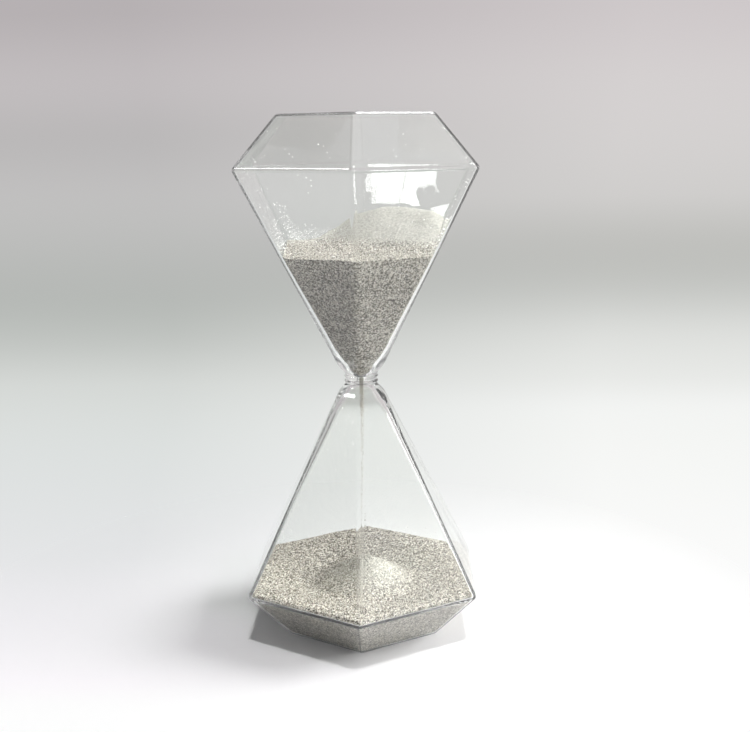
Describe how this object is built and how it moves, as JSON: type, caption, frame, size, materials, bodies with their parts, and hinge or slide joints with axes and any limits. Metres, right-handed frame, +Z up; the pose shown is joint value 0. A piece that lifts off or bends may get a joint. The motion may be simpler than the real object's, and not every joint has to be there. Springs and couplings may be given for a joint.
{
  "type": "hourglass",
  "caption": "Free-standing sand timer: faceted glass bulbs fused at a narrow throat, caught in mid-run with sand above, falling and below.",
  "frame": {"origin": "middle of the flat base face that the hourglass stands on", "axes": "+Z up through the throat to the top face; -Y towards the corner that faces the viewer; +X to the viewer's right"},
  "size_m": [0.0872, 0.1, 0.2],
  "materials": {
    "bulb_glass": "polished",
    "sand": "matte"
  },
  "bodies": {
    "root": {"upper_bulb": "bulb_glass", "lower_bulb": "bulb_glass", "neck_weld": "bulb_glass", "fill_seal": "bulb_glass", "upper_sand": "sand", "upper_sand_drift": "sand", "falling_sand": "sand", "lower_sand": "sand", "lower_sand_mound": "sand", "upper_loose_grains": "sand", "lower_loose_grains": "sand"}
  },
  "joints": []
}
